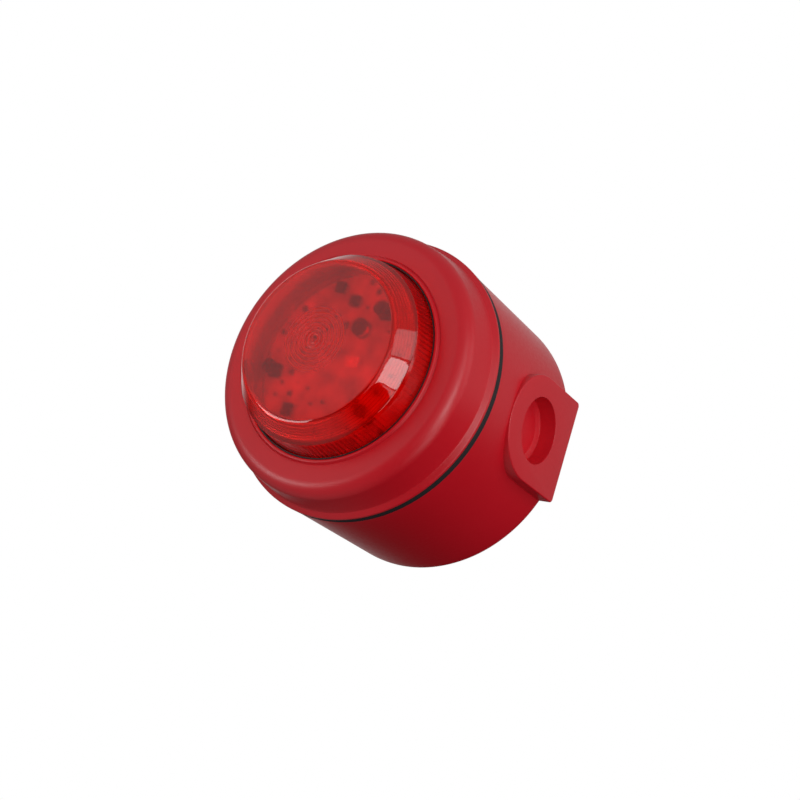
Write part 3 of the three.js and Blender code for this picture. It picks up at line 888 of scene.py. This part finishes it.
def beacon_transistor(index):
    """A power package: black body, three leads on one side and a tab on the other."""
    node = f"beacon_transistor_{index}"
    width, depth, height = size_mm(node)
    body = brick(f"beacon_transistor_body_{index}", width * 0.74, height, -0.1, -depth, 0.32, 0.25)
    on_board(shift(body, 0.3), node, "black_moulding", node)
    metal_bits = [brick("tab", 1.4, height * 0.8, 0.05, -0.55, 0.2, 0.08)]
    shift(metal_bits[0], -width / 2 + 0.45)
    for row in (-1, 0, 1):
        lead = gull_lead(1, depth * 0.45, 1.0, 0.7)
        metal_bits.append(shift(lead, width * 0.37 + 0.2, 0, row * height * 0.32))
    metal_piece = merge(f"beacon_transistor_leads_{index}", metal_bits)
    on_board(metal_piece, node, "plated_steel")


def beacon_chip():
    """A chip whose two rows of leads lie along x, so it is made crosswise and turned."""
    node = "beacon_chip"
    height, depth, width = size_mm(node)
    body, leads = package("beacon_chip_body", (width, height, depth), 6, 1.0, 1.0, 0.4)
    cut_all(body, [shift(drill(0.4, 0.12, -1, 20), 0.9 - width / 2, -depth, height / 2 - 0.9)])
    on_board(turn_about_y(body, 90), node, "black_moulding", node)
    on_board(turn_about_y(leads, 90), node, "plated_steel")


def drum_inductor(name, node, core_slot):
    """A drum core with its winding, standing on a board."""
    width, height, _ = size_mm(node)
    radius = width / 2
    flange = height * 0.18
    waist = radius * 0.55
    core = lathe(name + "_core", rounded([
        (0, 0), (radius, 0, 0.2), (radius, -flange, 0.15), (waist, -flange - 0.2),
        (waist, -height + flange + 0.2), (radius, -height + flange, 0.15), (radius, -height, 0.25),
        (radius * 0.4, -height, 0.1), (radius * 0.35, -height + 0.3), (0, -height + 0.3)], 4), 56)
    on_board(core, node, core_slot, node)
    wire = 0.36
    length = height - 2 * flange - 0.5
    turns = int(length / wire)
    ripple = [(waist - 0.05, -flange - 0.25)]
    for turn in range(turns):
        for step in range(6):
            bulge = math.sin(math.pi * step / 6) * wire * 0.5
            ripple.append((radius * 0.86 + bulge, -flange - 0.25 - (turn + step / 6) * wire))
    ripple += [(waist - 0.05, ripple[-1][1] - 0.06), (waist - 0.05, -flange - 0.25)]
    winding = lathe(name + "_winding", ripple[:-1], 56)
    on_board(winding, node, "spring_brass")


def beacon_electronics():
    low, high = box_mm("beacon_board")
    disc_board("beacon_board_plate", "beacon_board", high.z, "white_board")
    beacon_led()
    for index in (1, 2):
        beacon_can(index)
    for index in range(1, 5):
        beacon_transistor(index)
    beacon_chip()
    drum_inductor("beacon_coil", "beacon_coil", "ferrite")
    nodes = ["beacon_led", "beacon_chip", "beacon_coil"]
    nodes += [f"beacon_capacitor_{i}" for i in (1, 2)] + [f"beacon_transistor_{i}" for i in range(1, 5)]
    clear = [(centre_mm(node).x, centre_mm(node).z, 5.2) for node in nodes]
    clear.append((0, 0, 15))
    small_parts(low.y, clear, 120, 31.5, "beacon_small_parts", "ferrite")
    joints = [solder_joint(*polar(32.6, angle), low.y) for angle in range(12, 360, 24)]
    finish_piece(merge("beacon_solder", joints), "head", "plated_steel")


# ------------ sounder and main board

def sounder_parts():
    low, high = box_mm("sounder_cup")
    radius = high.z
    cup = lathe("sounder_cup_shell", rounded([
        (0, high.y), (radius, high.y, 0.4), (radius, low.y, 0.3), (radius - 1.6, low.y, 0.3),
        (radius - 1.6, -60.5, 0.1), (21, -60.5, 0.3), (21, high.y - 1.5, 0.4), (0, high.y - 1.5)], 4), 144)
    slots = [sector("slot", radius - 2.6, radius + 1, angle - 14, angle + 14, low.y + 3, low.y - 1)
             for angle in TAB_ANGLES]
    cut_all(cup, slots)
    finish_piece(cup, "head", "black_moulding", "sounder_cup")
    ribs = [sector("rib", radius - 0.3, radius + 1.1, angle - 1, angle + 1, high.y - 0.4, low.y + 4, 0.2)
            for angle in range(30, 390, 30)]
    finish_piece(merge("sounder_ribs", ribs), "head", "black_moulding")
    low, high = box_mm("sounder_disc")
    back = high.y
    plate = disc("piezo_disc", high.z, back, low.y, (0.05, 0.05), 2, 144)
    finish_piece(plate, "head", "spring_brass", "sounder_disc")
    ceramic = lathe("piezo_ceramic", rounded([
        (0, back + 0.24), (15, back + 0.24, 0.08), (15, back - 0.01), (0, back - 0.01)], 3), 128)
    finish_piece(ceramic, "head", "ivory_moulding")


def storage_capacitor(index):
    """A radial capacitor on the front of the main board, with its sleeve shrunk over the rims."""
    node = f"storage_capacitor_{index}"
    width, height, _ = size_mm(node)
    radius = width / 2
    sleeve = lathe(f"storage_sleeve_{index}", rounded([
        (0, 0), (radius - 0.6, 0, 0.2), (radius, -0.35, 0.4), (radius, -1.5, 0.2),
        (radius - 0.4, -1.9, 0.2), (radius, -2.3, 0.2), (radius, -height, 0.5),
        (radius - 0.9, -height, 0.15), (radius - 1.0, -height + 0.15), (0, -height + 0.15)], 4), 64)
    on_board(sleeve, node, "capacitor_sleeve", node)
    top = lathe(f"storage_top_{index}", rounded([
        (0, -height + 0.14), (radius - 1.05, -height + 0.14), (radius - 1.05, -height + 0.05, 0.04),
        (0, -height + 0.02)], 2), 64)
    on_board(top, node, "plated_steel")


def controller_chip():
    """It is on the rear of the main board, so its leads point forwards."""
    node = "controller_chip"
    width, depth, height = size_mm(node)
    body, leads = package("controller_chip_body", (width, height, depth), 11, 0.65, 0.9, 0.3)
    for piece in (body, leads):
        over(turn_round(piece), node, box_mm(node)[0].y - BOARD_GAP)
    finish_piece(body, "head", "black_moulding", node)
    finish_piece(leads, "head", "plated_steel")


def main_electronics():
    low, high = box_mm("main_board")
    holes = [(*polar(TIE_CIRCLE, angle), TIE_HOLE) for angle in TIE_ANGLES]
    disc_board("main_board_plate", "main_board", high.z, "circuit_board", holes)
    for index in (1, 2):
        storage_capacitor(index)
    drum_inductor("drive_coil", "drive_inductor", "ferrite")
    controller_chip()
    angles = (*range(110, 200, 10), *range(220, 410, 10))
    joints = [solder_joint(*polar(29.5, angle), low.y, 0.8) for angle in angles]
    finish_piece(merge("main_board_solder", joints), "head", "plated_steel")


# ------------ rear cover and what it holds

def rear_cover():
    low, high = box_mm("rear_cover")
    radius = high.z
    back, front = -44.5, -46.5
    cover = lathe("rear_cover_plate", rounded([
        (0, back - 0.35), (radius - 3.4, back - 0.35, 0.2), (radius - 3.0, back, 0.2), (radius, back, 0.5),
        (radius, front, 0.3), (0, front)], 4), 160)
    bosses = [lathe("boss", rounded([(0, back - 0.6), (3, back - 0.6), (3, low.y, 0.2), (0, low.y)], 3), 48)
              for _ in TIE_ANGLES]
    ribs = [sector("rib", 33, 34, angle, angle + 40, back - 0.8, front - 1.2, 0.2)
            for angle in (190, 250, 310)]
    join_all(cover, [at_tie(boss, angle) for boss, angle in zip(bosses, TIE_ANGLES)] + ribs)
    window = prism("window", rounded_rectangle(16.4, 10.6, 0.6), back + 2, front - 2)
    opening = drill(5.4, back + 2, front - 2, 64)
    holes = [at_tie(drill(TIE_HOLE, -43, -56), angle) for angle in TIE_ANGLES]
    cut_all(cover, [over(window, "dip_switch_body"), over(opening, "volume_pot_body"), *holes])
    finish_piece(cover, "head", "black_moulding", "rear_cover")


def head_screws():
    """Long screws whose heads are behind the cover, so they point the other way round."""
    for index in range(1, len(TIE_ANGLES) + 1):
        node = f"head_screw_{index}"
        made = screw(f"tie_screw_{index}", 2.9, 1.8, TIE_SEAT - box_mm(node)[0].y)
        finish_piece(over(turn_round(made), node, TIE_SEAT), "head", "plated_steel", node)


CONTACT_CIRCLE = 33
CONTACT_PITCH = 22
CONTACT_COUNT = 4
HEAD_TURN = 20


def contact_angle(index):
    return 90 + (index - 1 - (CONTACT_COUNT - 1) / 2) * CONTACT_PITCH


def head_contacts():
    for index in range(1, CONTACT_COUNT + 1):
        node = f"head_contact_{index}"
        low, high = box_mm(node)
        centre = contact_angle(index) + HEAD_TURN
        inner, outer = CONTACT_CIRCLE - 2.5, CONTACT_CIRCLE + 2
        made = sector(f"contact_strip_{index}", inner, outer, centre - 6, centre + 6, -low.y, -high.y, 0.15)
        finish_piece(face_wall(made), "head", "spring_brass", node)


DIP_LEVERS = 5


def dip_switch():
    node = "dip_switch_body"
    low, high = box_mm(node)
    width, _, height = size_mm(node)
    body = prism("dip_body", rounded_rectangle(width, height, 0.3), -low.y, -high.y, 0.25)
    over(face_wall(body), node)
    cutters = []
    for index in range(1, DIP_LEVERS + 1):
        cutter = prism("slot", rounded_rectangle(1.8, 4.6, 0.2), high.y + 1, -45.8)
        cutters.append(shift(cutter, centre_mm(f"dip_lever_{index}").x, 0, centre_mm(node).z))
    cut_all(body, cutters)
    finish_piece(body, "head", "switch_red", node)
    for index in range(1, DIP_LEVERS + 1):
        node = f"dip_lever_{index}"
        low, high = box_mm(node)
        width, _, height = size_mm(node)
        outline = rounded_rectangle(width, height, 0.4)
        lever = face_wall(prism(f"dip_rocker_{index}", outline, -low.y, -high.y, 0.3))
        finish_piece(over(lever, node), node, "ivory_moulding", node)


def volume_trimmer():
    pot = "volume_pot_body"
    low, high = box_mm(pot)
    radius = size_mm(pot)[0] / 2
    body = lathe("trimmer_body", rounded([
        (0, low.y), (radius, low.y, 0.2), (radius, high.y, 0.35), (3.6, high.y, 0.2), (3.5, high.y - 1.6),
        (0, high.y - 1.6)], 4), 96)
    finish_piece(over(body, pot), "head", "trimmer_blue", pot)
    node = "volume_rotor"
    low, high = box_mm(node)
    radius = size_mm(node)[0] / 2
    rotor = disc("trimmer_rotor", radius, low.y, high.y, (0.1, 0.35), 4, 72)
    cross = [prism("slot", rounded_rectangle(*size, 0.1, 2), high.y + 1, high.y - 1.0)
             for size in ((0.9, 5.0), (3.0, 0.9))]
    cut_all(rotor, cross)
    finish_piece(over(rotor, pot), node, "ivory_moulding", node)


# ------------ terminals in the base

def terminal_carrier():
    low, high = box_mm("terminal_carrier")
    width, _, height = size_mm("terminal_carrier")
    plate = prism("carrier_plate", rounded_rectangle(width, height, 6, 10), high.y, low.y, 0.4)
    rib = rounded_rectangle(width - 8, 1.2, 0.3, 3)
    ribs = [shift(prism("rib", rib, low.y + 0.5, low.y - 1.4, 0.2), 0, 0, z) for z in (-31.5, -18.5, 5, 11)]
    join_all(plate, ribs)
    holes = [shift(drill(1.9, high.y + 2, low.y - 3), 0, 0, z) for z in (-PILLAR_Z, PILLAR_Z)]
    cut_all(plate, holes)
    finish_piece(plate, "base", "ivory_moulding", "terminal_carrier")
    for index in (1, 2):
        node = f"carrier_screw_{index}"
        made = screw(f"carrier_pan_screw_{index}", 3.0, 2.0, 10)
        finish_piece(over(made, node, box_mm(node)[0].y + 2.0), "base", "plated_steel", node)


WAYS = 6


def terminal_block():
    node = "terminal_block"
    low, high = box_mm(node)
    width, _, height = size_mm(node)
    outline = rounded_rectangle(width, height, 0.5)
    body = over(prism("terminal_housing", outline, high.y, low.y, 0.4), node)
    seats = [centre_mm(f"terminal_screw_{way}") for way in range(1, WAYS + 1)]
    cutters = []
    for seat in seats:
        well = lathe("well", rounded([(0, low.y + 2.2), (2.15, low.y + 2.2), (2.15, low.y + 0.3, 0.2),
                                      (2.5, low.y - 0.2), (2.5, low.y - 1), (0, low.y - 1)], 3), 40)
        cutters.append(shift(well, seat.x, 0, seat.z))
        funnel = prism("funnel", rounded_rectangle(3.4, 8, 0.3, 3), high.y - 2, high.y - 5.6)
        cutters.append(shift(funnel, seat.x, 0, low.z))
    for seat, after in zip(seats, seats[1:]):
        groove = prism("groove", rounded_rectangle(0.3, height + 2, 0.1, 2), low.y + 0.5, low.y - 1)
        cutters.append(shift(groove, (seat.x + after.x) / 2, 0, centre_mm(node).z))
    cut_all(body, cutters)
    finish_piece(body, "base", "green_moulding", node)


def clamp_screws():
    for way in range(1, WAYS + 1):
        node = f"terminal_screw_{way}"
        low, high = box_mm(node)
        made = disc(f"clamp_screw_{way}", 1.85, high.y, low.y, (0.1, 0.25), 3, 40)
        slot = prism("slot", rounded_rectangle(0.7, 6, 0.1, 2), low.y + 0.6, low.y - 1)
        cut_all(made, [turn_about_y(slot, way * 37)])
        finish_piece(over(made, node), "base", "plated_steel", node)


def spring_contacts():
    """Blades of sprung strip, bent smoothly: foot, riser and hooked tip."""
    for index in range(1, CONTACT_COUNT + 1):
        node = f"base_contact_{index}"
        low, high = box_mm(node)
        x = centre_mm(node).x
        foot, tip = high.y - 0.25, low.y + 0.3
        reach = foot - tip
        path = rounded([
            (low.z + 0.2, foot), (low.z + 7.0, foot, 0.9), (low.z + 7.1, foot - reach * 0.55, 3.0),
            (low.z + 5.0, tip, 0.9), (low.z + 8.9, tip + 1.7)], 6)
        blade = strip(path, 0.45, high.x - low.x)
        # The strip's own x runs along z of the object.
        blade.data.transform(Matrix(((0, 0, -1, 0), (0, 1, 0, 0), (1, 0, 0, 0), (0, 0, 0, 1))))
        blade.name = f"spring_blade_{index}"
        finish_piece(shift(blade, x, 0, 0), "base", "spring_brass", node)


# ------------ sound ring round the lens

NOTCH_COUNT = 8
NOTCH_INNER = 35.2
NOTCH_OUTER = 36.2
NOTCH_HALF = 5
# The thin black lip fills the gap between lens and collar: partly a ring, partly painted shade for the shadow
# in that gap.
GAP_SHADE_LIP_INNER = 35.92
GAP_SHADE_LIP_OUTER = 36.38
GAP_SHADE_LIP_FRONT = -75.5


def grille_ring():
    """Black ring behind the lens skirt, notched for sound, with a thin black lip in the gap to the collar.
    The lip is partly a ring and partly painted shade for the shadowed gap.
    """
    low, high = box_mm("sound_grille")
    inner, outer = 35.65, high.z
    ring = lathe("grille_ring", rounded([
        (inner, high.y, 0.1), (outer, high.y, 0.1), (outer, low.y, 0.1), (GAP_SHADE_LIP_OUTER, low.y - 0.3, 0.1),
        (GAP_SHADE_LIP_OUTER, GAP_SHADE_LIP_FRONT, 0.12), (GAP_SHADE_LIP_INNER, GAP_SHADE_LIP_FRONT, 0.12), (GAP_SHADE_LIP_INNER, low.y, 0.1),
        (inner, low.y, 0.1)], 3), 240)
    for step in range(NOTCH_COUNT):
        angle = 360 / NOTCH_COUNT * (step + 0.5)
        start, end = angle - NOTCH_HALF, angle + NOTCH_HALF
        notch = sector("notch", NOTCH_INNER, NOTCH_OUTER, start, end, high.y + 1, low.y)
        combine(ring, notch, "DIFFERENCE")
    shade(ring)
    finish_piece(ring, "head", "black_moulding", "sound_grille")


# ------------ stage

TARGET = Vector((0, -0.05, 0))
CAMERA_DISTANCE = 0.65
CAMERA_AZIMUTH = math.radians(35.77)
CAMERA_ELEVATION = math.radians(-15.01)
CAMERA_ROLL = math.radians(17.49)
FOCAL_LENGTH = 84.5
SENSOR_WIDTH = 36
SHIFT_X = 0.0298
SHIFT_Y = -0.0175


def camera_axes():
    """Right, up and towards-the-camera directions of the main view."""
    toward = Vector((math.sin(CAMERA_AZIMUTH) * math.cos(CAMERA_ELEVATION),
                     -math.cos(CAMERA_AZIMUTH) * math.cos(CAMERA_ELEVATION),
                     math.sin(CAMERA_ELEVATION)))
    right = Vector((0, 0, 1)).cross(toward).normalized()
    up = toward.cross(right)
    rolled_right = math.cos(CAMERA_ROLL) * right + math.sin(CAMERA_ROLL) * up
    rolled_up = -math.sin(CAMERA_ROLL) * right + math.cos(CAMERA_ROLL) * up
    return rolled_right, rolled_up, toward


def basis(right, up, toward, origin):
    """The placing of a camera or lamp that looks along -toward."""
    matrix = Matrix((right, up, toward)).transposed().to_4x4()
    matrix.translation = origin
    return matrix


def add_camera():
    right, up, toward = camera_axes()
    data = bpy.data.cameras.new("camera")
    data.sensor_width = SENSOR_WIDTH
    data.lens = FOCAL_LENGTH
    data.shift_x = SHIFT_X
    data.shift_y = SHIFT_Y
    camera = bpy.data.objects.new("camera", data)
    camera.matrix_world = basis(right, up, toward, TARGET + toward * CAMERA_DISTANCE)
    bpy.context.scene.collection.objects.link(camera)
    bpy.context.scene.camera = camera


def add_softbox(name, direction, distance, width, height, power):
    """A rectangular lamp in a direction given by (right, up, towards the camera) of the main view."""
    right, up, toward = camera_axes()
    heading = (right * direction[0] + up * direction[1] + toward * direction[2]).normalized()
    data = bpy.data.lights.new(name, "AREA")
    data.shape = "RECTANGLE"
    data.size = width
    data.size_y = height
    data.energy = power
    lamp = bpy.data.objects.new(name, data)
    side = up.cross(heading).normalized()
    lamp.matrix_world = basis(side, heading.cross(side), heading, TARGET + heading * distance)
    bpy.context.scene.collection.objects.link(lamp)


# name: (direction as right, up, towards the camera), distance, width, height, power
SOFTBOXES = {
    "front_right_box": ((0.44, 0.02, 0.90), 1.1, 0.48, 0.44, 3.3),
    "front_right_fill": ((0.58, 0.44, 0.69), 1.1, 0.50, 0.46, 1.0),
    "front_left_box": ((-0.78, 0.57, 0.22), 1.4, 1.2, 1.2, 1.35),
    "camera_box": ((0.0, 0.25, 1.0), 1.5, 0.9, 0.9, 1.2),
    "low_right_box": ((0.55, -0.45, 0.70), 1.3, 0.7, 0.7, 2.4),
    "right_box": ((0.97, 0.15, 0.20), 1.2, 0.6, 0.9, 1.5),
    "left_box": ((-0.95, 0.06, 0.25), 1.3, 0.7, 0.4, 3.8),
}


def add_lights():
    for name, settings in SOFTBOXES.items():
        add_softbox(name, *settings)


SKY_DARK = 0.0
SKY_BRIGHT = 0.385
BACKDROP_BRIGHT = 0.8
LOW_LEFT = (-0.74, -0.60, 0.05)
LOW_LEFT_BRIGHT = 0.34


def add_world():
    """A pale dome above the horizon, brightest behind the object, with a soft fill from low on the left."""
    world = bpy.data.worlds.new("studio")
    world.use_nodes = True
    world.node_tree.nodes.clear()
    sky = Nodes(world.node_tree)
    coordinates = sky.node("ShaderNodeTexCoord").outputs["Generated"]

    def lobe(direction, start, end, low, high):
        along = sky.node("ShaderNodeVectorMath", operation="DOT_PRODUCT")
        along.inputs[1].default_value = direction
        sky.link(coordinates, along.inputs[0])
        return sky.ranged(along.outputs["Value"], start, end, low, high, interpolation_type="SMOOTHSTEP")

    def add(first, second):
        total = sky.node("ShaderNodeMath")
        sky.link(first, total.inputs[0])
        sky.link(second, total.inputs[1])
        return total.outputs["Value"]

    right, up, toward = camera_axes()
    low_left = (right * LOW_LEFT[0] + up * LOW_LEFT[1] + toward * LOW_LEFT[2]).normalized()
    dome = lobe(Vector((0, 0, 1)), -0.15, 0.20, SKY_DARK, SKY_BRIGHT)
    backdrop = lobe(-toward, 0.84, 1.0, 0, BACKDROP_BRIGHT)
    fill_light = lobe(low_left, 0.40, 0.95, 0, LOW_LEFT_BRIGHT)
    fill = sky.node("ShaderNodeBackground")
    sky.link(add(add(dome, backdrop), fill_light), fill.inputs["Strength"])
    white = sky.node("ShaderNodeBackground")
    white.inputs["Color"].default_value = (1, 1, 1, 1)
    usual, special = fill.outputs["Background"], white.outputs["Background"]
    sky.split_by_ray("Is Camera Ray", usual, special, sky.node("ShaderNodeOutputWorld"))
    bpy.context.scene.world = world
    bpy.context.scene.view_settings.view_transform = "Standard"


FLOOR_HALF = 4000
FLOOR_Z = -1600


def add_floor():
    """A pale floor far below, which sends no light or reflection back to the object."""
    builder = bmesh.new()
    bmesh.ops.create_grid(builder, x_segments=1, y_segments=1, size=FLOOR_HALF)
    bmesh.ops.translate(builder, verts=builder.verts, vec=(0, 0, FLOOR_Z))
    floor = new_object("floor", builder)
    shader = Shader("floor", (0.82, 0.82, 0.82), 0.6)
    shader.set(Emission_Strength=0.35)
    shader.vary_roughness(20, 0.55, 0.7)
    floor.data.materials.append(shader.material)
    floor.visible_diffuse = False
    floor.visible_glossy = False


# ------------ assembly

paint_cad_nodes()
base_shell()
seal_and_gap_shade()
bezel_shell()
lens_dome()
grille_ring()
beacon_electronics()
sounder_parts()
main_electronics()
rear_cover()
head_screws()
head_contacts()
dip_switch()
volume_trimmer()
terminal_carrier()
terminal_block()
clamp_screws()
spring_contacts()
add_camera()
add_lights()
add_world()
add_floor()
